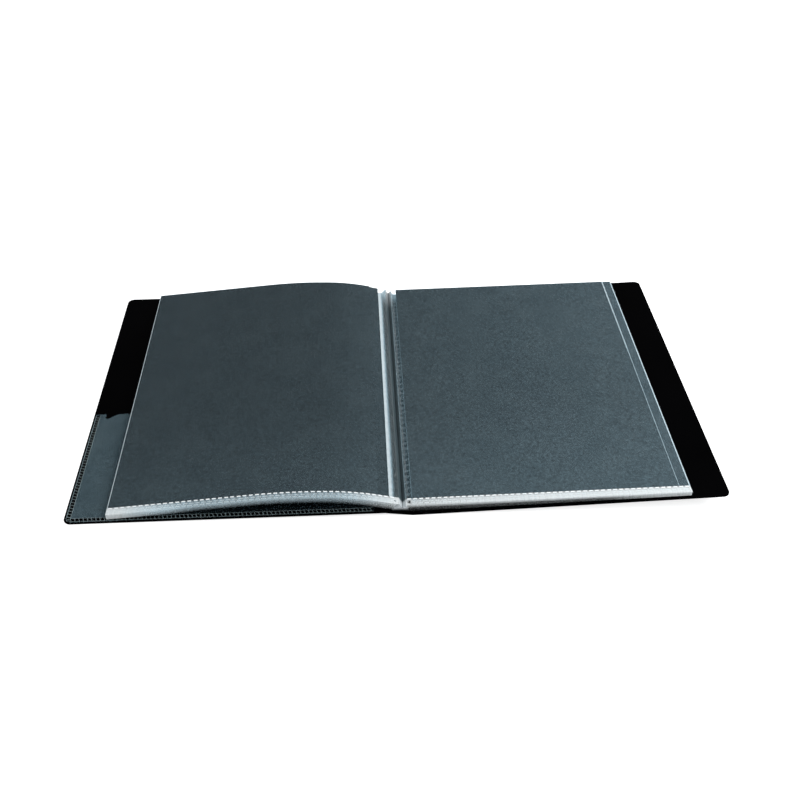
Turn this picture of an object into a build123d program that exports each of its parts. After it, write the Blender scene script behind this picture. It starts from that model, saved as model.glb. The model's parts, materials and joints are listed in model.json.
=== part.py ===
from build123d import *
import math
import os

# A4 display book lying open at its middle. Millimetres, +Z up.
# X runs across the open spread and Y from the bottom edge to the top edge of the pages.
# The origin is on the table, under the middle of the open book.

# The A4 sheet that each pocket holds
INSERT_WIDTH = 210.0
INSERT_HEIGHT = 297.0
INSERT_SHEET = 0.08

# Pocket leaf: two films, folded at the outer edge and welded at the bottom and the spine side.
# The spine weld is this wide on the lowest leaf, and wider by each step of the roots above it.
FILM = 0.10
SLIDE_CLEARANCE = 0.03
SIDE_PLAY = 8.8
END_PLAY = 0.2
SPINE_WELD = 2.0
BOTTOM_WELD = 7.0
PIN_HOLE_DIAMETER = 2.0
PIN_HOLE_INSET = 3.0
LEAVES_PER_SIDE = 10

# Covers and spine: one polypropylene sheet with two living hinges
COVER_SHEET = 0.8
COVER_OVERHANG = 26.9
COVER_END_MARGIN = 3.0
COVER_CORNER_RADIUS = 6.0
COVER_EDGE_ROUND = 0.2
SPINE_WIDTH = 22.3
HINGE_CLEARANCE = 0.3

# How the open book lies, in degrees: its left hinge stands up and its back cover lifts
SPINE_TILT = 7.6
BACK_COVER_TILT = 2.5

# Document pocket inside the front cover
DOCUMENT_FILM = 0.15
DOCUMENT_SLOT = 0.15
DOCUMENT_HEIGHT = 128.0
DOCUMENT_EDGE_INSET = 1.5
DOCUMENT_SPINE_GAP = 9.0
DOCUMENT_WELD = 3.5
NOTCH_FROM_OUTER_EDGE = 10.5
NOTCH_WIDTH = 10.5
NOTCH_DEPTH = 8.0
NOTCH_ROUND = 2.0

# Leaf roots on the spine: place of the lowest root from its hinge, and the air between roots
LEFT_ROOT_INSET = 4.6
RIGHT_ROOT_INSET = 3.5
LEFT_ROOT_AIR = (0.30, 0.34)
RIGHT_ROOT_AIR = (0.02, 0.41)
ROOT_SEAT = 0.12
LEFT_RISER_GAP = 0.20
RIGHT_RISER_GAP = 0.12

# Air under the lowest leaf and between leaves at the outer edge
LEAF_SEAT = 0.15
LEFT_OUTER_AIR = 0.17
RIGHT_OUTER_AIR = 0.06

# The left leaves arch over the cover: a straight rise, a tight bend and a slack bend
RISE_LENGTH = 18.0
RISE_SLOPE = 13.5
CREST_SLOPE = 2.5
TIGHT_BEND_RADIUS = 190.0
SLACK_BEND_RADIUS = 430.0

# Groove between the left and the right leaves
GUTTER_DEPTH = 4.6
GUTTER_SHARE = 0.5

# Fineness of the outlines: bow under which an edge is straight, step to a cap's tip, halvings of a slope
STRAIGHT_WITHIN = 1e-6
CAP_STEP = 1e-3
SLOPE_HALVINGS = 40

# Sizes that follow from those above
SLOT = INSERT_SHEET + 2 * SLIDE_CLEARANCE
LEAF = SLOT + 2 * FILM
POCKET_WIDTH = INSERT_WIDTH + SIDE_PLAY + FILM
LEAF_HEIGHT = BOTTOM_WELD + INSERT_HEIGHT
COVER_WIDTH = SPINE_WELD + POCKET_WIDTH + COVER_OVERHANG
COVER_HEIGHT = LEAF_HEIGHT + 2 * COVER_END_MARGIN
LEAF_BOTTOM = -LEAF_HEIGHT / 2
INSERT_BOTTOM = LEAF_BOTTOM + BOTTOM_WELD

# Hinge axes: the left one stands up by the spine's tilt, and the front cover slopes down to the table
spine_angle = math.radians(SPINE_TILT)
back_angle = math.radians(BACK_COVER_TILT)
front_angle = math.asin(SPINE_WIDTH * math.sin(spine_angle) / COVER_WIDTH)
span_left = SPINE_WIDTH * math.cos(spine_angle) + COVER_WIDTH * math.cos(front_angle)
span_left += COVER_SHEET / 2 * math.sin(front_angle)
span_right = COVER_WIDTH * math.cos(back_angle) + COVER_SHEET / 2 * math.sin(back_angle)
BACK_HINGE = ((span_left - span_right) / 2, COVER_SHEET / 2)
FRONT_HINGE = (
    BACK_HINGE[0] - SPINE_WIDTH * math.cos(spine_angle),
    BACK_HINGE[1] + SPINE_WIDTH * math.sin(spine_angle),
)


def spine_top(x):
    """Height of the spine panel's inner face."""
    rise = (BACK_HINGE[0] - x) * math.tan(spine_angle)
    return BACK_HINGE[1] + rise + COVER_SHEET / 2 / math.cos(spine_angle)


def front_cover_top(x):
    """Height of the front cover's inner face."""
    fall = (FRONT_HINGE[0] - x) * math.tan(front_angle)
    return FRONT_HINGE[1] - fall + COVER_SHEET / 2 / math.cos(front_angle)


def back_cover_top(x):
    """Height of the back cover's inner face."""
    rise = (x - BACK_HINGE[0]) * math.tan(back_angle)
    return BACK_HINGE[1] + rise + COVER_SHEET / 2 / math.cos(back_angle)


def along_y(radius, length):
    """Rod along Y, about the middle of the book."""
    return Cylinder(radius, length, rotation=(90, 0, 0))


def cover_board():
    """Cover lying flat, with its hinge on the Y axis and its outer edge towards +X."""
    board = Pos(COVER_WIDTH / 2, 0, 0) * Box(COVER_WIDTH, COVER_HEIGHT, COVER_SHEET)
    corners = board.edges().filter_by(Axis.Z).group_by(Axis.X)[-1]
    board = fillet(corners, COVER_CORNER_RADIUS)
    rims = board.faces().filter_by(Axis.Z).edges()
    outer_rims = [rim for rim in rims if rim.center().X > COVER_SHEET]
    board = fillet(outer_rims, COVER_EDGE_ROUND)
    return board - along_y(COVER_SHEET / 2 + HINGE_CLEARANCE, 2 * COVER_HEIGHT)


def on_front_cover(shape):
    """Shape drawn on a flat cover board, turned to lie on the front cover."""
    place = Pos(FRONT_HINGE[0], 0, FRONT_HINGE[1])
    return place * Rot(0, -math.degrees(front_angle), 0) * mirror(shape, Plane.YZ)


def on_back_cover(shape):
    """Shape drawn on a flat cover board, turned to lie on the back cover."""
    return Pos(BACK_HINGE[0], 0, BACK_HINGE[1]) * Rot(0, -BACK_COVER_TILT, 0) * shape


def spine_strip():
    """Spine panel with a round bead on each hinge axis."""
    strip_box = Pos(-SPINE_WIDTH / 2, 0, 0) * Box(SPINE_WIDTH, COVER_HEIGHT, COVER_SHEET)
    bead = along_y(COVER_SHEET / 2, COVER_HEIGHT)
    flat = strip_box + bead + Pos(-SPINE_WIDTH, 0, 0) * bead
    return Pos(BACK_HINGE[0], 0, BACK_HINGE[1]) * Rot(0, SPINE_TILT, 0) * flat


def document_pocket():
    """Film on a flat cover board, welded on three sides, open at the top, with a notch for the thumb."""
    outer = COVER_WIDTH - DOCUMENT_EDGE_INSET
    inner = DOCUMENT_SPINE_GAP
    bottom = -COVER_HEIGHT / 2 + DOCUMENT_EDGE_INSET
    top = bottom + DOCUMENT_HEIGHT
    notch_outer = COVER_WIDTH - NOTCH_FROM_OUTER_EDGE
    notch_inner = notch_outer - NOTCH_WIDTH
    outline = Polyline(
        (inner, bottom), (outer, bottom), (outer, top), (notch_outer, top),
        (notch_outer, top - NOTCH_DEPTH), (notch_inner, top), (inner, top), close=True,
    )
    film_face = make_face(outline)
    notch_root = film_face.vertices().sort_by(lambda v: abs(v.Y - (top - NOTCH_DEPTH)))[0]
    film_face = fillet(notch_root, NOTCH_ROUND)
    outer_corner = film_face.vertices().sort_by(lambda v: v.Y - v.X)[0]
    film_face = fillet(outer_corner, COVER_CORNER_RADIUS - DOCUMENT_EDGE_INSET)
    film = extrude(film_face, DOCUMENT_SLOT + DOCUMENT_FILM)
    slot_width = outer - inner - 2 * DOCUMENT_WELD
    slot = Pos(
        (outer + inner) / 2, bottom + DOCUMENT_WELD + DOCUMENT_HEIGHT / 2, DOCUMENT_SLOT / 2,
    ) * Box(slot_width, DOCUMENT_HEIGHT, DOCUMENT_SLOT)
    return Pos(0, 0, COVER_SHEET / 2) * (film - slot)


def point_on_leaf(leaf, distance, offset):
    """Point at a distance from the leaf's root along its middle line, offset square to it."""
    x = 0.0
    z = 0.0
    slope = leaf["runs"][0][1]
    for length, start, end in leaf["runs"]:
        part = min(distance, length)
        slope = start + (end - start) * part / length
        if start == end:
            x += part * math.cos(start)
            z += part * math.sin(start)
        else:
            radius = length / (end - start)
            x += radius * (math.sin(slope) - math.sin(start))
            z -= radius * (math.cos(slope) - math.cos(start))
        distance -= part
        if distance <= 0:
            break
    x -= offset * math.sin(slope)
    z += offset * math.cos(slope)
    return leaf["root"][0] + leaf["side"] * x, leaf["root"][1] + z


def leaf_strip(leaf, start, end, thickness, bottom, length, round_start=False, round_end=False):
    """Sheet that follows the leaf's middle line from start to end and runs a length along Y."""
    half = thickness / 2

    def spot(distance, offset):
        x, z = point_on_leaf(leaf, distance, offset)
        return x, bottom, z

    stops = [start]
    passed = 0.0
    for run in leaf["runs"]:
        passed += run[0]
        if start < passed < end:
            stops.append(passed)
    stops.append(end)

    def side_edges(offset):
        edges = []
        for near, far in zip(stops, stops[1:]):
            middle = spot((near + far) / 2, offset)
            chord = Vector(*spot(far, offset)) - Vector(*spot(near, offset))
            bow = chord.cross(Vector(*middle) - Vector(*spot(near, offset))).length / chord.length
            if bow < STRAIGHT_WITHIN:
                edges.append(Line(spot(near, offset), spot(far, offset)))
            else:
                edges.append(ThreePointArc(spot(near, offset), middle, spot(far, offset)))
        return edges

    def cap(distance, outward, rounded):
        low = spot(distance, -half)
        high = spot(distance, half)
        if not rounded:
            return Line(low, high)
        ahead = Vector(*spot(distance + outward * CAP_STEP, 0)) - Vector(*spot(distance, 0))
        tip = Vector(*spot(distance, 0)) + ahead.normalized() * half
        return ThreePointArc(low, tip, high)

    outline = side_edges(half) + side_edges(-half)
    outline.append(cap(start, -1, round_start))
    outline.append(cap(end, 1, round_end))
    face = make_face(outline)
    return extrude(face, amount=length, dir=(0, 1, 0))


def left_runs(width, outer_slope):
    """Runs of a left leaf, as length and slope at its start and end: rise, two bends, long outer flat."""
    rise = math.radians(RISE_SLOPE)
    crest = math.radians(CREST_SLOPE)
    tight = TIGHT_BEND_RADIUS * (rise - crest)
    slack = SLACK_BEND_RADIUS * (crest + outer_slope)
    flat = width - RISE_LENGTH - tight - slack
    return [
        (RISE_LENGTH, rise, rise),
        (tight, rise, crest),
        (slack, crest, -outer_slope),
        (flat, -outer_slope, -outer_slope),
    ]


def left_leaf(number):
    """Left leaf, 1 on top: its root stands on the spine and its outer edge lies on the leaf below."""
    above = LEAVES_PER_SIDE - number
    step = above * (LEAF + LEFT_ROOT_AIR[0])
    root_x = FRONT_HINGE[0] + LEFT_ROOT_INSET
    root_z = spine_top(root_x) + LEAF / 2 + ROOT_SEAT
    leaf = {
        "root": (root_x + step, root_z + above * (LEAF + LEFT_ROOT_AIR[1])),
        "side": -1,
        "weld": SPINE_WELD + step,
        "fold": SPINE_WELD + step + POCKET_WIDTH - LEAF / 2,
        "sheet_out": number == 1,
    }
    steep = math.radians(2 * RISE_SLOPE)
    flat = 0.0
    for _ in range(SLOPE_HALVINGS):
        slope = (steep + flat) / 2
        leaf["runs"] = left_runs(SPINE_WELD + step + POCKET_WIDTH, slope)
        x, z = point_on_leaf(leaf, leaf["fold"], 0)
        seat = front_cover_top(x) + DOCUMENT_SLOT + DOCUMENT_FILM + LEAF_SEAT + LEAF / 2
        if z > seat + above * (LEAF + LEFT_OUTER_AIR):
            flat = slope
        else:
            steep = slope
    return leaf


def right_leaf(number):
    """Right leaf, 1 on top: straight from its root on the spine to its outer edge."""
    above = LEAVES_PER_SIDE - number
    step = above * (LEAF + RIGHT_ROOT_AIR[0])
    root_x = BACK_HINGE[0] - RIGHT_ROOT_INSET
    root_z = spine_top(root_x) + LEAF / 2 + ROOT_SEAT
    root = (root_x - step, root_z + above * (LEAF + RIGHT_ROOT_AIR[1]))
    width = SPINE_WELD + step + POCKET_WIDTH
    fold = width - LEAF / 2
    seat = back_cover_top(root[0] + fold) + LEAF_SEAT + LEAF / 2 + above * (LEAF + RIGHT_OUTER_AIR)
    slope = math.asin((seat - root[1]) / fold)
    return {
        "root": root,
        "side": 1,
        "weld": SPINE_WELD + step,
        "fold": fold,
        "sheet_out": number > 1,
        "runs": [(width, slope, slope)],
    }


def pocket(leaf):
    """Pocket leaf: open along its top edge, with a pin hole in its welded bottom corner at the spine."""
    body = leaf_strip(leaf, 0, leaf["fold"], LEAF, LEAF_BOTTOM, LEAF_HEIGHT, True, True)
    body -= leaf_strip(leaf, leaf["weld"], leaf["fold"], SLOT, INSERT_BOTTOM, LEAF_HEIGHT, False, True)
    hole_x, hole_z = point_on_leaf(leaf, PIN_HOLE_INSET, 0)
    lean = -leaf["side"] * math.degrees(leaf["runs"][0][1])
    drill = Cylinder(PIN_HOLE_DIAMETER / 2, 4 * LEAF)
    return body - Pos(hole_x, LEAF_BOTTOM + PIN_HOLE_INSET, hole_z) * Rot(0, lean, 0) * drill


def insert(leaf):
    """A4 sheet in a pocket: the two on top have slid to the left of the book and the others to the right."""
    start = leaf["fold"] - INSERT_WIDTH if leaf["sheet_out"] else leaf["weld"] + END_PLAY
    return leaf_strip(leaf, start, start + INSERT_WIDTH, INSERT_SHEET, INSERT_BOTTOM, INSERT_HEIGHT)


def binding(left_leaves, right_leaves):
    """Welded inner margins on the spine: steps up to each leaf's root, with the gutter between them."""
    drop = LEAF / 2 + ROOT_SEAT
    left_reach = LEAF / 2 + LEFT_RISER_GAP
    right_reach = LEAF / 2 + RIGHT_RISER_GAP

    def climb(leaves, reach):
        points = []
        for lower, upper in zip(leaves, leaves[1:]):
            riser = lower["root"][0] - lower["side"] * reach
            points.append((riser, lower["root"][1] - drop))
            points.append((riser, upper["root"][1] - drop))
        return points

    left = climb(left_leaves[::-1], left_reach)
    right = climb(right_leaves[:0:-1], right_reach)
    left_edge = left_leaves[0]["root"][0] + left_reach
    right_edge = right_leaves[1]["root"][0] - right_reach
    left_peak = (left_edge, left[-1][1])
    right_peak = (right_edge, right[-1][1])
    valley_x = left_edge + (right_edge - left_edge) * GUTTER_SHARE
    valley = (valley_x, left_peak[1] - GUTTER_DEPTH)
    foot_left = (left[0][0], spine_top(left[0][0]))
    foot_right = (right[0][0], spine_top(right[0][0]))
    outline = [foot_left] + left[1:] + [left_peak, valley, right_peak] + right[:0:-1] + [foot_right]
    spots = [(x, LEAF_BOTTOM, z) for x, z in outline]
    return extrude(make_face(Polyline(*spots, close=True)), amount=LEAF_HEIGHT, dir=(0, 1, 0))


left_leaves = [left_leaf(number + 1) for number in range(LEAVES_PER_SIDE)]
right_leaves = [right_leaf(number + 1) for number in range(LEAVES_PER_SIDE)]

pieces = {
    "front_cover": on_front_cover(cover_board()),
    "spine_panel": spine_strip(),
    "back_cover": on_back_cover(cover_board()),
    "inside_pocket": on_front_cover(document_pocket()),
    "spine_binding": binding(left_leaves, right_leaves),
}
for side, leaves in (("left", left_leaves), ("right", right_leaves)):
    for number, leaf in enumerate(leaves, start=1):
        pieces[f"{side}_pocket_{number:02d}"] = pocket(leaf)
        pieces[f"{side}_insert_{number:02d}"] = insert(leaf)

os.makedirs("parts", exist_ok=True)
for name, piece in pieces.items():
    export_step(piece, f"parts/{name}.step")

for name, hinge in (("front hinge", FRONT_HINGE), ("back hinge", BACK_HINGE)):
    print(name, [round(value, 4) for value in hinge])
for side, leaves in (("left", left_leaves), ("right", right_leaves)):
    for number, leaf in enumerate(leaves, start=1):
        root = [round(value, 4) for value in leaf["root"]]
        print(f"{side} leaf {number}", root, round(math.degrees(leaf["runs"][-1][1]), 3))
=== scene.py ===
import bpy
import json
import math
import random
from mathutils import Matrix, Vector


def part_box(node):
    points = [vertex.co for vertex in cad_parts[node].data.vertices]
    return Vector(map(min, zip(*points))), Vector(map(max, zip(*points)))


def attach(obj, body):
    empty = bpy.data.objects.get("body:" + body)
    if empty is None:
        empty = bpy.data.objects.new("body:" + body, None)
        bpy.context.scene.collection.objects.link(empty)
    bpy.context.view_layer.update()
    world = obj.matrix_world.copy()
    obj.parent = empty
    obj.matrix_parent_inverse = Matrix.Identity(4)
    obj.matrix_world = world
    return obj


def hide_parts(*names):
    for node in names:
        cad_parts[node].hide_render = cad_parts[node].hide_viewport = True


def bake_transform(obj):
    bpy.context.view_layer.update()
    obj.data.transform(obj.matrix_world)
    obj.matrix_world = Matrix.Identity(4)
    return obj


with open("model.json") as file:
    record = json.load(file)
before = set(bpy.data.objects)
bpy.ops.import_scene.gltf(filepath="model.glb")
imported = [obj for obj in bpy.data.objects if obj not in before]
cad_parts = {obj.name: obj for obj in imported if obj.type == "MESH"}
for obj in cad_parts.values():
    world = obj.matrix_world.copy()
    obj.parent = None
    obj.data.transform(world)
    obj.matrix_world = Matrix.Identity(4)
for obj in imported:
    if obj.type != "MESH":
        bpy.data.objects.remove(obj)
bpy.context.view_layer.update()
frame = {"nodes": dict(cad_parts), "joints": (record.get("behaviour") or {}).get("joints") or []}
scene = bpy.context.scene
nodes = frame["nodes"]
joints = {joint["name"]: joint for joint in frame["joints"]}
rng = random.Random(7)

# Sizes of the book as its solids have them: lengths in millimetres, slopes in radians
MM = 0.001
LEAVES = 10
LEAF_THICKNESS = 0.34
LEAF_HEIGHT = 304.0
BOTTOM = -LEAF_HEIGHT / 2
TOP = LEAF_HEIGHT / 2
BOTTOM_WELD = 7.0
WELD_LINE = BOTTOM + BOTTOM_WELD
SPINE_WELD = 2.0
POCKET_WIDTH = 218.9
INSERT_WIDTH = 210.0
END_PLAY = 0.2
ROOT_STEP = {"left": 0.64, "right": 0.36}
RISE_LENGTH = 18.0
RISE_SLOPE = math.radians(13.5)
CREST_SLOPE = math.radians(2.5)
TIGHT_BEND = 190.0
SLACK_BEND = 430.0
COVER_WIDTH = 247.8
COVER_HEIGHT = 310.0
COVER_SHEET = 0.8
BACK_TILT = math.radians(2.5)
DOCUMENT_POCKET_THICKNESS = 0.30
PIN_INSET = 3.0
PIN_HEIGHT = BOTTOM + PIN_INSET
PIN_RADIUS = 1.0

# Mesh of the films: lengths in millimetres, turns of the fold in degrees
FILM_OFFSET = 0.15
STEP_ALONG = {"left": 3.0, "right": 9.0}
STEP_UP = 8.0
PAIR_GAP = 0.03
WELD_STEPS = 12
FOLD_TURNS = (45, 90, 135)
HOLE_STEPS = 4
HOLE_RIM_REACH = PIN_RADIUS / 7
WINDOW_START = BOTTOM + 4.5
WINDOW_STEP = 0.4
WINDOW_STATIONS = 6

# Search for the outer slope of an arched leaf
STEEPEST_SLOPE = math.radians(20)
SEARCH_ROUNDS = 40

# Lines and zones where the look of a film changes, in millimetres
ROOT_LINE = 0.4
FOLD_LINE = 0.5
RIGHT_FOLD_LINE = 0.75
TOP_EDGE = 0.5
BOTTOM_EDGE = 0.35
SHEET_EDGE = 0.6
LOWER_CREASE = 0.3
UPPER_CREASE = 0.6
UPPER_CREASE_START = 40.0
# Zones of the painted sheen on the page: near the spine on the left, and low down
PAGE_SHEEN_INNER_ZONE = 60.0
PAGE_SHEEN_LOW_ZONE = (-40.0, -130.0)
WELD_TOP_ZONE = 30.0
INNER_END = 50.0
OUTER_END = (75.0, 10.0)
# Clear windows under the pin hole in the lower leaves: painted shade in the hole
HOLE_SHADE_RADIUS = 1.5
HOLE_SHADE_RISE = 0.93
# Painted shade on the document pocket under the leaf stack: a band of thinner haze along its bottom edge
DOCUMENT_SHADE_BAND = (13.0, 22.0)
DOCUMENT_SHADE_START = (-225.0, -190.0)
BINDING_WHITE_END = (-1.5, 0.5)
# Heights over which the painted shadow at the foot of the binding fades out
BINDING_SHADOW_FOOT = (3.0, 5.5)

# Haze of the pocket films, from 0 for clear to 1 for white
CLEAR_HAZE = 0.004
BEHIND_SHEET_HAZE = 0.055
PAGE_HAZE = {"left": 0.050, "right": 0.066}
# Painted sheen: extra haze on the page towards one end and low down
PAGE_END_SHEEN = {"left": 0.017, "right": 0.021}
PAGE_LOW_SHEEN = {"left": 0.014, "right": 0.021}
STRIP_HAZE = {"left": 0.032, "right": 0.052}
WELD_HAZE = {"left": 0.010, "right": 0.032}
# White strip of the left spine weld: milky weld and painted highlight together
WELD_WHITE_AND_HIGHLIGHT_HAZE = 0.60
WELD_TOP_HAZE = 0.40
# Painted highlight along the crease where the film rides over the sheet's edge
CREASE_HIGHLIGHT_HAZE = 0.36
CREASE_TOP_HIGHLIGHT_HAZE = 0.16
TOP_FOLD_HAZE = {"left": 0.60, "right": 0.48}
LOWER_FOLD_HAZE = 0.35
ROUND_FOLD_HAZE = 0.6
TOP_EDGE_HAZE = 0.30
LOWER_TOP_EDGE_HAZE = 0.1
ROOT_LINE_HAZE = 0.13

# Haze of the bottom margins, with painted shade, and where it changes along them in millimetres
RIGHT_MARGIN_HAZE = 0.16
RIGHT_MARGIN_GAIN = 0.17
RIGHT_MARGIN_RISE = 63.75
RIGHT_SHADE = 0.92
RIGHT_SHADE_DEPTHS = (0.2, 0.6)
RIGHT_SHADE_FADE = (150.0, 215.0)
RIGHT_ROOT_SHADE = 0.6
TOP_MARGIN_HAZE = 0.088
TOP_MARGIN_OUTER = 0.35
TOP_MARGIN_INNER = 0.34
LOWER_MARGIN_HAZE = 0.066
LOWER_MARGIN_OUTER = 0.32
LOWER_MARGIN_INNER = 0.10
LOWER_MARGIN_SHADE_POWER = 0.8
STREAK_RANGE = (0.5, 1.5)
LEFT_MARGIN_WHITENESS = 0.5
BOTTOM_EDGE_GAIN = 1.6
LOWER_FILM_SHARE = 0.5

# Shares of the spine weld's width
WHITE_STRIP = (0.36, 0.82)
RIB_SPAN = (0.25, 0.85)

# Pressed dashes and ribs: lengths in millimetres, leans as shares of the height
MOST_DASHES = 60
DASH_JITTER = 0.12
DASH_PITCH = 4.75
DASH_LEAN = 0.25
DASH_BASE = FILM_OFFSET + 0.005
DASH_TOP = FILM_OFFSET + 0.045
DASH_END_GAP = 1.0
RIB_PITCH = 6.6
RIB_HEIGHT = 3.0
RIB_LEAN = 0.7
RIB_START_GAP = 3.0
RIB_END_GAP = 2.0

JITTER = [rng.uniform(-DASH_JITTER, DASH_JITTER) for _ in range(MOST_DASHES)]
STREAK = [rng.uniform(*STREAK_RANGE) for _ in range(LEAVES + 1)]


def share(value, start, end):
    """How far a value has come from start to end, held between 0 and 1."""
    return min(1.0, max(0.0, (value - start) / (end - start)))


def ease(value, start, end):
    """The same share with a soft start and a soft end."""
    part = share(value, start, end)
    return part * part * (3 - 2 * part)


# Leaves: the middle line of each pocket, from its root on the spine to its outer fold

def left_runs(width, outer_slope):
    """Runs of an arched leaf: the length of each, and its slope at both ends."""
    tight = TIGHT_BEND * (RISE_SLOPE - CREST_SLOPE)
    slack = SLACK_BEND * (CREST_SLOPE + outer_slope)
    flat = width - RISE_LENGTH - tight - slack
    return [
        (RISE_LENGTH, RISE_SLOPE, RISE_SLOPE),
        (tight, RISE_SLOPE, CREST_SLOPE),
        (slack, CREST_SLOPE, -outer_slope),
        (flat, -outer_slope, -outer_slope),
    ]


def spot(leaf, distance, offset):
    """Point x, z at a distance from the root along the leaf, offset square to it."""
    x = 0.0
    z = 0.0
    slope = leaf["runs"][0][1]
    for length, start, end in leaf["runs"]:
        part = min(distance, length)
        slope = start + (end - start) * part / length
        if start == end:
            x += part * math.cos(start)
            z += part * math.sin(start)
        else:
            radius = length / (end - start)
            x += radius * (math.sin(slope) - math.sin(start))
            z -= radius * (math.cos(slope) - math.cos(start))
        distance -= part
        if distance <= 0:
            break
    x -= offset * math.sin(slope)
    z += offset * math.cos(slope)
    return leaf["root"][0] + leaf["sign"] * x, leaf["root"][1] + z


def fit_runs(leaf, width):
    """Runs of a leaf, at the slope that brings its outer fold to the height of its solid."""
    low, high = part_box(leaf["pocket"])
    if leaf["side"] == "right":
        rise = high.z / MM - LEAF_THICKNESS / 2 - leaf["root"][1]
        slope = math.asin(rise / leaf["fold"])
        leaf["runs"] = [(width, slope, slope)]
        return
    steep = STEEPEST_SLOPE
    flat = 0.0
    for _ in range(SEARCH_ROUNDS):
        slope = (steep + flat) / 2
        leaf["runs"] = left_runs(width, slope)
        if spot(leaf, leaf["fold"], 0)[1] - LEAF_THICKNESS / 2 > low.z / MM:
            flat = slope
        else:
            steep = slope


def make_leaf(side, number):
    """Sizes and places of one leaf, counted from the top of its stack."""
    right = side == "right"
    top = number == 1
    place = joints[f"{side}_leaf_{number:02d}_turn"]["pos_m"]
    weld = SPINE_WELD + (LEAVES - number) * ROOT_STEP[side]
    width = weld + POCKET_WIDTH
    fold = width - LEAF_THICKNESS / 2
    inner_sheet = weld + END_PLAY
    outer_sheet = fold - INSERT_WIDTH
    sheet = inner_sheet if right == top else outer_sheet
    leaf = {
        "name": f"{side}_{number:02d}",
        "body": f"{side}_leaf_{number:02d}",
        "pocket": f"{side}_pocket_{number:02d}",
        "side": side,
        "sign": 1 if right else -1,
        "top": top,
        "depth": (number - 1) / (LEAVES - 1),
        "streak": STREAK[number],
        "root": (place[0] / MM, place[2] / MM),
        "weld": weld,
        "fold": fold,
        "fold_line": RIGHT_FOLD_LINE if right and top else FOLD_LINE,
        "behind_sheet": (sheet + SHEET_EDGE, sheet + INSERT_WIDTH - SHEET_EDGE),
        "strip": (inner_sheet + INSERT_WIDTH, fold) if right else (weld, outer_sheet),
        "crease": inner_sheet + INSERT_WIDTH if right and top else None,
        "window": (PIN_INSET - ROOT_STEP["right"] * (number - 1), PIN_HEIGHT + HOLE_SHADE_RISE * (number - 1)),
    }
    fit_runs(leaf, width)
    return leaf


# Shader nodes

TINT_STOPS = (0.3, 0.7)


def shader(name):
    material = bpy.data.materials.new(name)
    material.use_nodes = True
    tree = material.node_tree
    return material, tree, tree.nodes["Principled BSDF"]


def add(tree, kind, **values):
    node = tree.nodes.new(kind)
    for key, value in values.items():
        setattr(node, key, value)
    return node


def feed(tree, socket, value):
    """Link an output to a socket, or set a plain value on it."""
    if isinstance(value, bpy.types.NodeSocket):
        tree.links.new(value, socket)
    else:
        socket.default_value = value


def feed_all(tree, node, values):
    """Feed several sockets of a node, by name or number."""
    for key, value in values.items():
        feed(tree, node.inputs[key], value)


def math_node(tree, operation, a, b):
    node = add(tree, "ShaderNodeMath", operation=operation)
    feed_all(tree, node, {0: a, 1: b})
    return node.outputs[0]


def mix_numbers(tree, factor, a, b):
    node = add(tree, "ShaderNodeMix", data_type="FLOAT")
    feed_all(tree, node, {0: factor, 2: a, 3: b})
    return node.outputs[0]


def mix_colours(tree, factor, a, b):
    node = add(tree, "ShaderNodeMix", data_type="RGBA")
    feed_all(tree, node, {0: factor, 6: a, 7: b})
    return node.outputs[2]


def axes(tree, source, output):
    """Coordinates X, Y and Z of a source node's output."""
    node = add(tree, "ShaderNodeSeparateXYZ")
    feed(tree, node.inputs["Vector"], add(tree, source).outputs[output])
    return node.outputs


def noise(tree, scale, detail, stretch=(1, 1, 1)):
    """Noise on the object's own coordinates, with a stretch along each axis."""
    mapping = add(tree, "ShaderNodeMapping")
    place = add(tree, "ShaderNodeTexCoord").outputs["Object"]
    feed_all(tree, mapping, {"Scale": stretch, "Vector": place})
    texture = add(tree, "ShaderNodeTexNoise")
    feed_all(tree, texture, {"Scale": scale, "Detail": detail, "Vector": mapping.outputs["Vector"]})
    return texture.outputs["Fac"]


def spread(tree, value, old, new):
    """A value moved from an old range to a new one, and held inside it."""
    node = add(tree, "ShaderNodeMapRange")
    limits = {"From Min": old[0], "From Max": old[1], "To Min": new[0], "To Max": new[1]}
    feed_all(tree, node, {"Value": value, **limits})
    return node.outputs["Result"]


def zone(tree, value, origin, stretch, new):
    """A coordinate moved from a stretch, in millimetres from an origin, to a new range."""
    start, end = stretch
    return spread(tree, value, ((origin + start) * MM, (origin + end) * MM), new)


def tint(tree, value, dark, light):
    """Colour between dark and light, over the middle of a noise."""
    ramp = add(tree, "ShaderNodeValToRGB")
    feed(tree, ramp.inputs["Fac"], value)
    for element, position, colour in zip(ramp.color_ramp.elements, TINT_STOPS, (dark, light)):
        element.position = position
        element.color = (*colour, 1)
    return ramp.outputs["Color"]


def bump(tree, height, strength, distance):
    node = add(tree, "ShaderNodeBump")
    feed_all(tree, node, {"Strength": strength, "Distance": distance, "Height": height})
    return node.outputs["Normal"]


# Materials

def cover_plastic():
    """Black polypropylene with a fine matt grain."""
    material, tree, principled = shader("cover_plastic")
    fine = noise(tree, scale=1400, detail=3)
    broad = noise(tree, scale=12, detail=2)
    feed_all(tree, principled, {
        "Base Color": tint(tree, broad, (0.0003, 0.0003, 0.0004), (0.0007, 0.0007, 0.0009)),
        "Roughness": spread(tree, fine, (0.3, 0.7), (0.42, 0.62)),
        "Specular IOR Level": 0.003,
        "Normal": bump(tree, fine, strength=0.25, distance=0.0001),
    })
    return material


def film_grain(tree, grain, cloud, grain_spread):
    """Variation of a film's haze around 1: fine grain, soft clouds and a few bright specks."""
    specks = noise(tree, scale=620, detail=1)
    fine = spread(tree, grain, (0.25, 0.75), (1 - grain_spread, 1 + grain_spread))
    soft = spread(tree, cloud, (0.3, 0.7), (0.95, 1.05))
    bright = spread(tree, specks, (0.68, 0.78), (0.0, 0.5))
    return math_node(tree, "ADD", math_node(tree, "MULTIPLY", fine, soft), bright)


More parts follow.
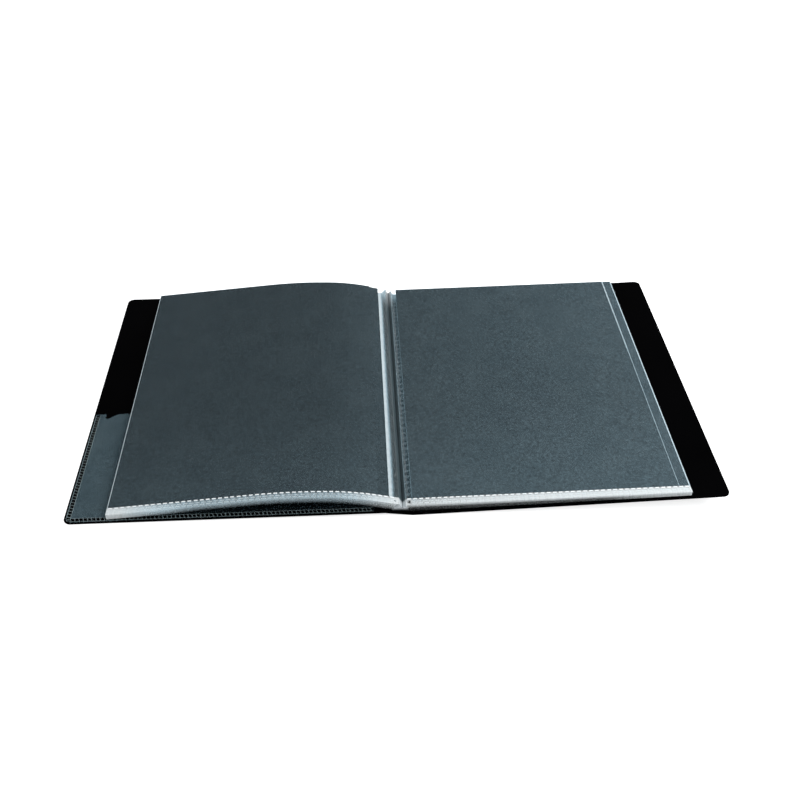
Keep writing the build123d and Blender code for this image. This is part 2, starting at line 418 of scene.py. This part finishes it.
def film(name, grain_spread, haze_of):
    """Clear film. haze_of gives the nodes of its haze, and of how white it is in a weld, if at all."""
    material, tree, principled = shader(name)
    grain = noise(tree, scale=480, detail=4)
    cloud = noise(tree, scale=45, detail=3)
    haze, white = haze_of(tree)
    vary = film_grain(tree, grain, cloud, grain_spread)
    colour = tint(tree, cloud, (0.52, 0.80, 0.95), (0.58, 0.86, 1.0))
    if white:
        vary = mix_numbers(tree, white, vary, 1.0)
        colour = mix_colours(tree, white, colour, (0.93, 0.97, 0.98, 1))
    feed_all(tree, principled, {
        "Base Color": colour,
        "Alpha": math_node(tree, "MULTIPLY", vary, haze),
        "Roughness": 0.45,
        "Specular IOR Level": 0.35,
        "Normal": bump(tree, grain, strength=0.02, distance=0.00003),
    })
    return material


def pocket_haze(tree):
    """Haze from the leaf's point attributes, with upright ribs in the welds, which are white."""
    haze = add(tree, "ShaderNodeAttribute", attribute_name="haze").outputs["Fac"]
    weld = add(tree, "ShaderNodeAttribute", attribute_name="weld").outputs["Fac"]
    ribs = spread(tree, noise(tree, scale=60, detail=3, stretch=(14, 1, 4)), (0.32, 0.68), (-0.16, 0.12))
    ribbed = math_node(tree, "ADD", 1.0, math_node(tree, "MULTIPLY", ribs, weld))
    haze = math_node(tree, "MULTIPLY", haze, ribbed)
    white = math_node(tree, "MAXIMUM", spread(tree, haze, (0.2, 0.8), (0.0, 1.0)), weld)
    return haze, white


def document_haze(tree):
    """Haze of the document pocket, thinner along the bottom edge under the leaf stack's arch: painted shade
    of the stack.
    """
    haze = 0.050
    # Painted shade: haze taken away in a band along the bottom edge, under the stack's arch
    painted_shade_cut = 0.85 * haze
    origin = nodes["inside_pocket"].matrix_world.translation / MM
    edge = -COVER_HEIGHT / 2 - origin.y
    place = axes(tree, "ShaderNodeTexCoord", "Object")
    low = zone(tree, place["Y"], edge, DOCUMENT_SHADE_BAND, (painted_shade_cut, 0.0))
    inner = zone(tree, place["X"], -origin.x, DOCUMENT_SHADE_START, (0.0, 1.0))
    return math_node(tree, "SUBTRACT", haze, math_node(tree, "MULTIPLY", low, inner)), None


def milky(name, light, dark, alpha):
    """Film fused in a weld: milky, with streaks."""
    material, tree, principled = shader(name)
    streak = noise(tree, scale=90, detail=3)
    feed_all(tree, principled, {
        "Base Color": tint(tree, streak, dark, light),
        "Roughness": 0.4,
        "Alpha": alpha,
        "Normal": bump(tree, streak, strength=0.3, distance=0.0002),
    })
    return material


def binding_film():
    """The fused inner margins: grey in the gutter, white at both ends of the spine, with a painted shadow
    that makes it dark at the foot.
    """
    material, tree, principled = shader("welded_film")
    streak = noise(tree, scale=90, detail=3, stretch=(4, 0.3, 4))
    grey = tint(tree, streak, (0.034, 0.052, 0.060), (0.056, 0.084, 0.095))
    white = tint(tree, streak, (0.42, 0.46, 0.48), (0.66, 0.70, 0.72))
    # Colour of the painted shadow at the foot of the binding
    dark = (0.006, 0.007, 0.008, 1)
    place = axes(tree, "ShaderNodeNewGeometry", "Position")
    bottom = zone(tree, place["Y"], WELD_LINE, BINDING_WHITE_END, (1.0, 0.0))
    top = zone(tree, place["Y"], TOP, (-WELD_TOP_ZONE, 0.0), (0.0, 0.7))
    above_foot_shadow = zone(tree, place["Z"], 0.0, BINDING_SHADOW_FOOT, (0.0, 1.0))
    colour = mix_colours(tree, math_node(tree, "MAXIMUM", bottom, top), grey, white)
    feed_all(tree, principled, {
        "Base Color": mix_colours(tree, above_foot_shadow, dark, colour),
        "Roughness": 0.4,
        "Normal": bump(tree, streak, strength=0.3, distance=0.0002),
    })
    return material


def insert_paper():
    """Black paper with a faint fibre."""
    material, tree, principled = shader("insert_paper")
    fibre = noise(tree, scale=700, detail=5, stretch=(1, 0.4, 1))
    feed_all(tree, principled, {
        "Base Color": tint(tree, fibre, (0.0020, 0.0020, 0.0022), (0.0060, 0.0060, 0.0064)),
        "Roughness": 0.85,
        "Specular IOR Level": 0.06,
        "Normal": bump(tree, fibre, strength=0.3, distance=0.00005),
    })
    return material


COVER = cover_plastic()
POCKET_FILM = film("pocket_film", 0.43, pocket_haze)
DOCUMENT_FILM = film("document_film", 0.26, document_haze)
WELDED = binding_film()
DASH = milky("weld_dash", (0.97, 0.99, 1.0), (0.88, 0.94, 0.96), 0.92)
FAINT_DASH = milky("weld_dash_faint", (0.66, 0.86, 0.97), (0.54, 0.74, 0.85), 0.22)
SECOND_DASH = milky("weld_dash_second", (0.88, 0.96, 0.99), (0.74, 0.84, 0.88), 0.40)
SPINE_DASH = milky("weld_dash_spine", (0.66, 0.86, 0.97), (0.54, 0.74, 0.85), 0.08)
SEAM_RIM = milky("seam_rim", (0.62, 0.78, 0.80), (0.42, 0.54, 0.56), 0.30)
PAPER = insert_paper()


def paint(obj, material):
    obj.data.materials.clear()
    obj.data.materials.append(material)


for name, node in nodes.items():
    if "insert" in name:
        paint(node, PAPER)
    elif name.endswith("cover") or name == "spine_panel":
        paint(node, COVER)
    elif name == "inside_pocket":
        paint(node, DOCUMENT_FILM)
    elif name == "spine_binding":
        paint(node, WELDED)


# Pieces

def mesh_object(name, points, faces, material, smooth):
    """Mesh from points in millimetres."""
    mesh = bpy.data.meshes.new(name)
    mesh.from_pydata([Vector(point) * MM for point in points], [], faces)
    mesh.polygons.foreach_set("use_smooth", [smooth] * len(mesh.polygons))
    mesh.materials.append(material)
    mesh.update()
    obj = bpy.data.objects.new(name, mesh)
    scene.collection.objects.link(obj)
    return obj


def build(name, points, faces, material, body, slot, smooth=True):
    """Piece that rides on a body."""
    obj = mesh_object(name, points, faces, material, smooth)
    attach(obj, body)
    return obj


# Pocket films: the places of their points, and the haze at each point

def stations(start, end, step, marks):
    """Even stations, with a close pair at each mark where the film's haze changes."""
    count = max(1, round((end - start) / step))
    values = {round(start + (end - start) * i / count, 4) for i in range(count + 1)}
    for mark in marks:
        values.add(round(mark - PAIR_GAP, 4))
        values.add(round(mark + PAIR_GAP, 4))
    return {value for value in values if start <= value <= end}


def hole_stations(middle):
    """Stations across the pin hole, and one beyond it on either side."""
    steps = range(-HOLE_STEPS - 1, HOLE_STEPS + 2)
    return {round(middle + PIN_RADIUS * step / HOLE_STEPS, 4) for step in steps}


def window_stations():
    """Stations up the bottom margin over the pin hole, for the clear windows of the lower leaves that paint
    the shade in the hole.
    """
    return {round(WINDOW_START + WINDOW_STEP * step, 4) for step in range(WINDOW_STATIONS)}


def leaf_stations(leaf):
    """Stations along a leaf from its root, and up it from the bottom."""
    side = leaf["side"]
    marks = [ROOT_LINE, leaf["weld"], leaf["fold"] - leaf["fold_line"], *leaf["behind_sheet"]]
    marks.append(leaf["strip"][0] if side == "right" else leaf["strip"][1])
    if leaf["top"]:
        marks += [leaf["weld"] * step / WELD_STEPS for step in range(1, WELD_STEPS)]
    if leaf["crease"]:
        marks += [leaf["crease"] + sign * half for sign in (-1, 1) for half in (LOWER_CREASE, UPPER_CREASE)]
    along = stations(0.0, leaf["fold"], STEP_ALONG[side], marks) | hole_stations(PIN_INSET)
    up = stations(BOTTOM, TOP, STEP_UP, [BOTTOM + BOTTOM_EDGE, WELD_LINE, TOP - TOP_EDGE])
    return sorted(along), sorted(up | hole_stations(PIN_HEIGHT) | window_stations())


def round_hole(s, y):
    """A station near the pin hole's rim moved onto it."""
    ds = s - PIN_INSET
    dy = y - PIN_HEIGHT
    reach = math.hypot(ds, dy)
    if abs(reach - PIN_RADIUS) < HOLE_RIM_REACH:
        return PIN_INSET + ds * PIN_RADIUS / reach, PIN_HEIGHT + dy * PIN_RADIUS / reach
    return s, y


def outer_end(leaf, s):
    """How far into the white outer end of the bottom margin."""
    return share(s, leaf["fold"] - OUTER_END[0], leaf["fold"] - OUTER_END[1]) ** 2


def margin_haze(leaf, s):
    """Haze of the bottom margin: white at the outer end, with painted shade that thins it low in the stack,
    through the middle on the left and near the root on the right.
    """
    depth = leaf["depth"]
    if leaf["side"] == "right":
        # Painted shade: lower leaves darker away from the outer end, and all leaves darker near the root
        under = ease(depth, *RIGHT_SHADE_DEPTHS) * (1 - ease(s, *RIGHT_SHADE_FADE))
        root = depth * share(s, RIGHT_SHADE_FADE[0], 0)
        light = (1 - RIGHT_SHADE * under) * (1 - RIGHT_ROOT_SHADE * root)
        return (RIGHT_MARGIN_HAZE + RIGHT_MARGIN_GAIN * share(s, 0, RIGHT_MARGIN_RISE)) * light
    outer = outer_end(leaf, s)
    inner = share(s, INNER_END, 0)
    if leaf["top"]:
        return TOP_MARGIN_HAZE + TOP_MARGIN_OUTER * outer + TOP_MARGIN_INNER * inner
    # Painted shade: thinner haze through the middle of the arch and lower in the stack
    thin = (LOWER_MARGIN_HAZE + LOWER_MARGIN_INNER * inner) * (1 - depth) ** LOWER_MARGIN_SHADE_POWER
    return LOWER_MARGIN_OUTER * outer + leaf["streak"] * thin


def margin_whiteness(leaf, s):
    """How white the bottom margin is: all along it on the right, and towards both ends on the left."""
    if leaf["side"] == "right":
        return 1.0
    ends = max(outer_end(leaf, s), ease(s, INNER_END, 0))
    return LEFT_MARGIN_WHITENESS + (1 - LEFT_MARGIN_WHITENESS) * ends


def spine_weld_haze(leaf, s, y):
    """Haze of the weld at the spine: a white strip beside the left page, partly milky weld and partly a
    painted highlight where the film rises out of the gutter, and whiter at the top end.
    """
    if not leaf["top"]:
        return CLEAR_HAZE
    haze = WELD_HAZE[leaf["side"]]
    if leaf["side"] == "left":
        # Milky weld and painted highlight where the left film rises out of the gutter
        haze += WELD_WHITE_AND_HIGHLIGHT_HAZE * ease(s / leaf["weld"], *WHITE_STRIP)
    return max(haze, WELD_TOP_HAZE * ease(y, TOP - WELD_TOP_ZONE, TOP))


def page_haze(leaf, s, y):
    """Haze of the page: thin on the strip beside the sheet, with a painted sheen that makes it stronger low
    down and towards one end.
    """
    side = leaf["side"]
    if leaf["strip"][0] < s < leaf["strip"][1]:
        return STRIP_HAZE[side]
    end = s / leaf["fold"] if side == "right" else share(s, PAGE_SHEEN_INNER_ZONE, 0)
    # Painted sheen towards one end of the page and low down
    return PAGE_HAZE[side] + PAGE_END_SHEEN[side] * end + PAGE_LOW_SHEEN[side] * share(y, *PAGE_SHEEN_LOW_ZONE)


def in_hole_shade(leaf, s, y):
    """Whether a point of a lower right leaf is in its clear window under the pin hole, left clear so that the
    hole reads dark: painted shade.
    """
    if leaf["side"] == "left" or leaf["top"]:
        return False
    return math.hypot(s - leaf["window"][0], y - leaf["window"][1]) < HOLE_SHADE_RADIUS


def zone_haze(leaf, s, y, upper):
    """Haze of the zone that a point of the upper or lower film is in."""
    if y < WELD_LINE:
        # Painted shade in the pin hole: lower leaves left clear under it
        if in_hole_shade(leaf, s, y):
            return 0.0
        return margin_haze(leaf, s) * (1.0 if upper else LOWER_FILM_SHARE)
    if s < leaf["weld"]:
        return spine_weld_haze(leaf, s, y) if upper else CLEAR_HAZE
    if upper:
        return page_haze(leaf, s, y)
    return BEHIND_SHEET_HAZE if leaf["behind_sheet"][0] < s < leaf["behind_sheet"][1] else CLEAR_HAZE


def film_haze(leaf, s, y, upper):
    """Haze of a point: that of its zone, or of the crease, fold or edge that crosses it. The crease is a
    painted highlight along the sheet's edge.
    """
    top = leaf["top"]
    haze = zone_haze(leaf, s, y, upper)
    crease_half = LOWER_CREASE if y < UPPER_CREASE_START else UPPER_CREASE
    # Painted highlight where the film rides over the sheet's edge
    if leaf["crease"] and upper and abs(s - leaf["crease"]) < crease_half:
        haze = max(haze, CREASE_HIGHLIGHT_HAZE + CREASE_TOP_HIGHLIGHT_HAZE * share(y, 0, TOP))
    if s > leaf["fold"] - leaf["fold_line"]:
        haze = TOP_FOLD_HAZE[leaf["side"]] if top else LOWER_FOLD_HAZE
    if y > TOP - TOP_EDGE:
        haze = max(haze, TOP_EDGE_HAZE if top else LOWER_TOP_EDGE_HAZE)
    if y < BOTTOM + BOTTOM_EDGE:
        haze = max(haze, BOTTOM_EDGE_GAIN * margin_haze(leaf, s))
    if s < ROOT_LINE and top and leaf["side"] == "right":
        haze = max(haze, ROOT_LINE_HAZE)
    return haze


def film_leaf(leaf):
    """Both films of a pocket: folded at the outer edge, welded at the bottom and the spine, open on top."""
    along, up = leaf_stations(leaf)
    rows = len(up)
    points = []
    hazes = []
    welds = []
    faces = []

    def point(x, y, z, haze, weld):
        points.append((x, y, z))
        hazes.append(haze)
        welds.append(weld)

    def sheet(offset, upper):
        """One film, with the pin hole left open. Gives the number of its first point."""
        first = len(points)
        for s in along:
            for y in up:
                place_s, place_y = round_hole(s, y)
                x, z = spot(leaf, place_s, offset)
                weld = margin_whiteness(leaf, s) if y < WELD_LINE else 0.0
                point(x, place_y, z, film_haze(leaf, s, y, upper), weld)
        for i in range(len(along) - 1):
            for j in range(rows - 1):
                middle_s = (along[i] + along[i + 1]) / 2
                middle_y = (up[j] + up[j + 1]) / 2
                if math.hypot(middle_s - PIN_INSET, middle_y - PIN_HEIGHT) < PIN_RADIUS:
                    continue
                a = first + i * rows + j
                faces.append((a, a + rows, a + rows + 1, a + 1))
        return first

    upper_start = sheet(FILM_OFFSET, True)
    lower_start = sheet(-FILM_OFFSET, False)
    last = (len(along) - 1) * rows
    fold_starts = [upper_start + last]
    for turn in FOLD_TURNS:
        angle = math.radians(turn)
        x, z = spot(leaf, leaf["fold"] + FILM_OFFSET * math.sin(angle), FILM_OFFSET * math.cos(angle))
        fold_starts.append(len(points))
        for y in up:
            point(x, y, z, ROUND_FOLD_HAZE, 0.0)
    fold_starts.append(lower_start + last)
    for a, b in zip(fold_starts, fold_starts[1:]):
        for j in range(rows - 1):
            faces.append((a + j, b + j, b + j + 1, a + j + 1))
    for i in range(len(along) - 1):
        a = upper_start + i * rows
        b = lower_start + i * rows
        faces.append((a, b, b + rows, a + rows))
    for j in range(rows - 1):
        a = upper_start + j
        b = lower_start + j
        faces.append((a, a + 1, b + 1, b))
    obj = build(f"{leaf['name']}_film", points, faces, POCKET_FILM, leaf["body"], "pocket_film")
    for name, values in (("haze", hazes), ("weld", welds)):
        obj.data.attributes.new(name, "FLOAT", "POINT").data.foreach_set("value", values)
    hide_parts(leaf["pocket"])


# Pressed dashes of the welds

def dash(leaf, group, s_range, y_range, lean):
    """Low raised dash on the upper film, leaning as it goes up."""
    points, faces = group
    first = len(points)
    (s0, s1), (y0, y1) = s_range, y_range
    shift = lean * (y1 - y0) / 2
    corners = [(s0 - shift, y0), (s1 - shift, y0), (s1 + shift, y1), (s0 + shift, y1)]
    for height in (DASH_BASE, DASH_TOP):
        for s, y in corners:
            x, z = spot(leaf, s, height)
            points.append((x, y, z))
    count = len(corners)
    faces.append(tuple(first + count + i for i in range(count)))
    for i in range(count):
        j = (i + 1) % count
        faces.append((first + i, first + j, first + count + j, first + count + i))


def dash_row(leaf, group, below_line, tall, long, start):
    """Row of dashes along the bottom weld, from the outer fold to the root."""
    y = WELD_LINE - below_line
    s = leaf["fold"] - DASH_END_GAP - long - start
    for jitter in JITTER:
        if s < DASH_END_GAP:
            break
        dash(leaf, group, (s + jitter, s + jitter + long), (y - tall, y), DASH_LEAN)
        s -= DASH_PITCH


def spine_ribs(leaf, group):
    """Ribs up the spine weld."""
    span = [leaf["weld"] * part for part in RIB_SPAN]
    y = WELD_LINE + RIB_START_GAP
    while y + RIB_HEIGHT < TOP - RIB_END_GAP:
        dash(leaf, group, span, (y, y + RIB_HEIGHT), RIB_LEAN)
        y += RIB_PITCH


def weld_dashes(leaf):
    """Dashes of the bottom weld, in three rows on a top leaf, and ribs of the spine weld on the right."""
    first = ([], [])
    lower = ([], [])
    ribs = ([], [])
    dash_row(leaf, first, below_line=0.1, tall=1.15, long=2.9, start=0.0)
    if leaf["top"]:
        dash_row(leaf, lower, below_line=2.9, tall=0.8, long=3.2, start=1.6)
        dash_row(leaf, lower, below_line=5.2, tall=0.6, long=3.6, start=0.4)
        if leaf["side"] == "right":
            spine_ribs(leaf, ribs)
        groups = [("weld", first, DASH), ("weld_rows", lower, SECOND_DASH),
                  ("weld_spine", ribs, SPINE_DASH)]
    else:
        groups = [("weld_faint", first, FAINT_DASH)]
    for suffix, group, material in groups:
        if group[0]:
            build(f"{leaf['name']}_{suffix}", *group, material, leaf["body"], "pocket_film", smooth=False)


for side in ("left", "right"):
    for number in range(1, LEAVES + 1):
        leaf = make_leaf(side, number)
        film_leaf(leaf)
        weld_dashes(leaf)


# Stamped seam of the document pocket, on two edges of the front cover

front_hinge = joints["front_cover_hinge"]["pos_m"]
front_tilt = math.asin((front_hinge[2] / MM - COVER_SHEET / 2) / COVER_WIDTH)
SEAM_INSET = 3.7
SEAM_HALF = 1.5
SEAM_HEIGHT = 124.5
SEAM_START = 10.0
SEAM_OUTER = COVER_WIDTH - SEAM_INSET
SEAM_LOW = -COVER_HEIGHT / 2 + SEAM_INSET
SEAM_PITCH = 3.2
SEAM_RIB_HALF = 0.30
SEAM_RIB_LEAN = 0.5
SEAM_LINE_SHIFT = SEAM_HALF + 0.2
SEAM_LINE_HALF = 0.18
SEAM_FLOOR = COVER_SHEET / 2 + DOCUMENT_POCKET_THICKNESS
TRACK_HEIGHT = SEAM_FLOOR + 0.03
CORNER_HEIGHT = SEAM_FLOOR + 0.04
RIB_TOP = SEAM_FLOOR + 0.05
CORNER_SIDES = 20
CORNER_RADIUS = 1.9
HIGHLIGHT_RING_RADII = (0.7, 1.15)


def on_front_cover(u, y, height):
    """Point at u from the hinge, at a height over the front cover's middle plane."""
    x = front_hinge[0] / MM - u * math.cos(front_tilt) - height * math.sin(front_tilt)
    z = front_hinge[2] / MM - u * math.sin(front_tilt) + height * math.cos(front_tilt)
    return x, y, z


def patch(group, corners, height):
    """Flat patch over the front cover, with corners u, y."""
    points, faces = group
    first = len(points)
    points.extend(on_front_cover(u, y, height) for u, y in corners)
    faces.append(tuple(range(first, first + len(corners))))


def outer_edge(corners):
    """Corners along and across the seam, on the outer edge of the cover, in the order that faces alike."""
    return [(SEAM_OUTER + across, along) for along, across in reversed(corners)]


def bottom_edge(corners):
    """Corners along and across the seam, on the bottom edge of the cover."""
    return [(along, SEAM_LOW + across) for along, across in corners]


def seam_edge(edge, first, last, track, ribs):
    """Black track from first to last, barred by pale ribs, with a pale line on either side."""
    def bar(group, middle, half):
        low = middle - half
        high = middle + half
        patch(group, edge([(first, low), (last, low), (last, high), (first, high)]), TRACK_HEIGHT)

    bar(track, 0.0, SEAM_HALF)
    bar(ribs, -SEAM_LINE_SHIFT, SEAM_LINE_HALF)
    bar(ribs, SEAM_LINE_SHIFT, SEAM_LINE_HALF)
    place = first + SEAM_PITCH / 2
    while place < last:
        low = place - SEAM_RIB_LEAN
        high = place + SEAM_RIB_LEAN
        corners = [(low - SEAM_RIB_HALF, -SEAM_HALF), (low + SEAM_RIB_HALF, -SEAM_HALF),
                   (high + SEAM_RIB_HALF, SEAM_HALF), (high - SEAM_RIB_HALF, SEAM_HALF)]
        patch(ribs, edge(corners), RIB_TOP)
        place += SEAM_PITCH


def seam_corner(track, ribs):
    """Black spot with a pale ring, a painted highlight on the film's edge round it, where the two edges of
    the seam meet.
    """
    def around(step, radius):
        angle = 2 * math.pi * step / CORNER_SIDES
        return SEAM_OUTER + radius * math.cos(angle), SEAM_LOW + radius * math.sin(angle)

    patch(track, [around(step, CORNER_RADIUS) for step in range(CORNER_SIDES)], CORNER_HEIGHT)
    inner, outer = HIGHLIGHT_RING_RADII
    # Painted highlight: pale ring on the film's edge round the spot
    for step in range(CORNER_SIDES):
        corners = [around(step, inner), around(step, outer), around(step + 1, outer), around(step + 1, inner)]
        patch(ribs, corners, RIB_TOP)


def document_seam():
    """Both edges of the seam and their corner."""
    track = ([], [])
    ribs = ([], [])
    seam_edge(outer_edge, SEAM_LOW + SEAM_HALF, SEAM_LOW + SEAM_HEIGHT, track, ribs)
    seam_edge(bottom_edge, SEAM_START, SEAM_OUTER - SEAM_HALF, track, ribs)
    seam_corner(track, ribs)
    build("pocket_seam", *track, COVER, "front_cover", "cover_plastic", smooth=False)
    build("pocket_seam_rim", *ribs, SEAM_RIM, "front_cover", "document_film", smooth=False)


document_seam()


# Living hinges: the thin web between each cover and the spine panel

WEB_HALF = 0.14
WEB_STEP = 0.25
WEB_STEPS_TO_SPINE = 4
WEB_STEPS_TO_COVER = 5
WEB_END_GAP = 0.2


def hinge_web(name, joint, toward_spine, toward_cover):
    """Thin strip over a hinge, which bends between the spine and a cover."""
    place = joints[joint]["pos_m"]
    axis = Vector((place[0] / MM, 0, place[2] / MM))
    path = [axis + toward_spine * WEB_STEP * step for step in range(WEB_STEPS_TO_SPINE, 0, -1)]
    path += [axis + toward_cover * WEB_STEP * step for step in range(WEB_STEPS_TO_COVER + 1)]
    reach = COVER_HEIGHT / 2 - WEB_END_GAP
    section = [(WEB_HALF, -reach), (WEB_HALF, reach), (-WEB_HALF, reach), (-WEB_HALF, -reach)]
    count = len(section)
    points = []
    faces = []
    for index, centre in enumerate(path):
        along = (path[min(index + 1, len(path) - 1)] - path[max(index - 1, 0)]).normalized()
        normal = Vector((-along.z, 0, along.x))
        for offset, y in section:
            point = centre + normal * offset
            points.append((point.x, y, point.z))
    last = count * (len(path) - 1)
    for first in range(0, last, count):
        for corner in range(count):
            a = first + corner
            b = first + (corner + 1) % count
            faces.append((a, b, b + count, a + count))
    faces.append(tuple(reversed(range(count))))
    faces.append(tuple(range(last, last + count)))
    obj = mesh_object(name, points, faces, COVER, smooth=False)
    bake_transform(obj)


back_hinge = joints["back_cover_hinge"]["pos_m"]
to_back = Vector((back_hinge[0] - front_hinge[0], 0, back_hinge[2] - front_hinge[2])).normalized()
hinge_web("front_hinge_web", "front_cover_hinge", to_back,
          Vector((-math.cos(front_tilt), 0, -math.sin(front_tilt))))
hinge_web("back_hinge_web", "back_cover_hinge", -to_back,
          Vector((math.cos(BACK_TILT), 0, math.sin(BACK_TILT))))


# Floor, light and camera

WHITE = (1, 1, 1, 1)


def shown_rays(tree):
    """One for the rays that show the background: from the camera, off gloss and through glass."""
    path = add(tree, "ShaderNodeLightPath").outputs
    seen = math_node(tree, "MAXIMUM", path["Is Camera Ray"], path["Is Glossy Ray"])
    return math_node(tree, "MAXIMUM", seen, path["Is Transmission Ray"])


def floor():
    """Pale floor that glows to white, with the book's shadow left on it."""
    material, tree, principled = shader("floor")
    feed_all(tree, principled, {"Base Color": (0.85, 0.85, 0.85, 1), "Roughness": 0.9})
    glow = add(tree, "ShaderNodeEmission")
    feed_all(tree, glow, {"Color": WHITE, "Strength": math_node(tree, "MULTIPLY", shown_rays(tree), 0.75)})
    both = add(tree, "ShaderNodeAddShader")
    feed_all(tree, both, {0: principled.outputs["BSDF"], 1: glow.outputs["Emission"]})
    feed(tree, tree.nodes["Material Output"].inputs["Surface"], both.outputs["Shader"])
    reach = 6000.0
    level = -0.2
    corners = [(-reach, -reach, level), (reach, -reach, level), (reach, reach, level), (-reach, reach, level)]
    mesh_object("floor", corners, [(0, 1, 2, 3)], material, smooth=False)


def sky():
    """Soft light from all round, which shows as white."""
    world = bpy.data.worlds.new("studio")
    world.use_nodes = True
    scene.world = world
    tree = world.node_tree
    ambient = tree.nodes["Background"]
    feed_all(tree, ambient, {"Color": (0.94, 0.98, 1.0, 1), "Strength": 0.45})
    white = add(tree, "ShaderNodeBackground")
    feed(tree, white.inputs["Color"], WHITE)
    mix = add(tree, "ShaderNodeMixShader")
    shaders = {1: ambient.outputs["Background"], 2: white.outputs["Background"]}
    feed_all(tree, mix, {0: shown_rays(tree), **shaders})
    feed(tree, tree.nodes["World Output"].inputs["Surface"], mix.outputs["Shader"])


def lamp(name, place, aim, size, energy):
    data = bpy.data.lights.new(name, "AREA")
    data.shape = "SQUARE"
    data.size = size
    data.energy = energy
    obj = bpy.data.objects.new(name, data)
    scene.collection.objects.link(obj)
    obj.location = place
    obj.rotation_euler = (Vector(aim) - Vector(place)).to_track_quat("-Z", "Y").to_euler()


def camera():
    """Camera fitted to the outline of the covers in the photograph."""
    place = (-0.03018, -0.68912, 0.55394)
    elevation = math.radians(39.3072)
    yaw = math.radians(-3.1235)
    roll = math.radians(0.6664)
    level = math.cos(elevation)
    back = Vector((math.sin(yaw) * level, -math.cos(yaw) * level, math.sin(elevation)))
    right = Vector((math.cos(yaw), math.sin(yaw), 0))
    up = back.cross(right)
    across = right * math.cos(roll) + up * math.sin(roll)
    upward = up * math.cos(roll) - right * math.sin(roll)
    matrix = Matrix((across, upward, back)).transposed().to_4x4()
    matrix.translation = place
    data = bpy.data.cameras.new("camera")
    data.sensor_width = 36.0
    data.lens = 44.334
    data.clip_start = 0.01
    data.clip_end = 50
    obj = bpy.data.objects.new("camera", data)
    scene.collection.objects.link(obj)
    obj.matrix_world = matrix
    scene.camera = obj


floor()
sky()
lamp("key", place=(0.85, 0.15, 0.80), aim=(0.08, 0, 0), size=0.9, energy=13)
lamp("fill", place=(-0.7, -0.8, 1.2), aim=(0, 0, 0), size=1.4, energy=6)
camera()
scene.view_settings.view_transform = "Standard"
scene.cycles.transparent_max_bounces = 64
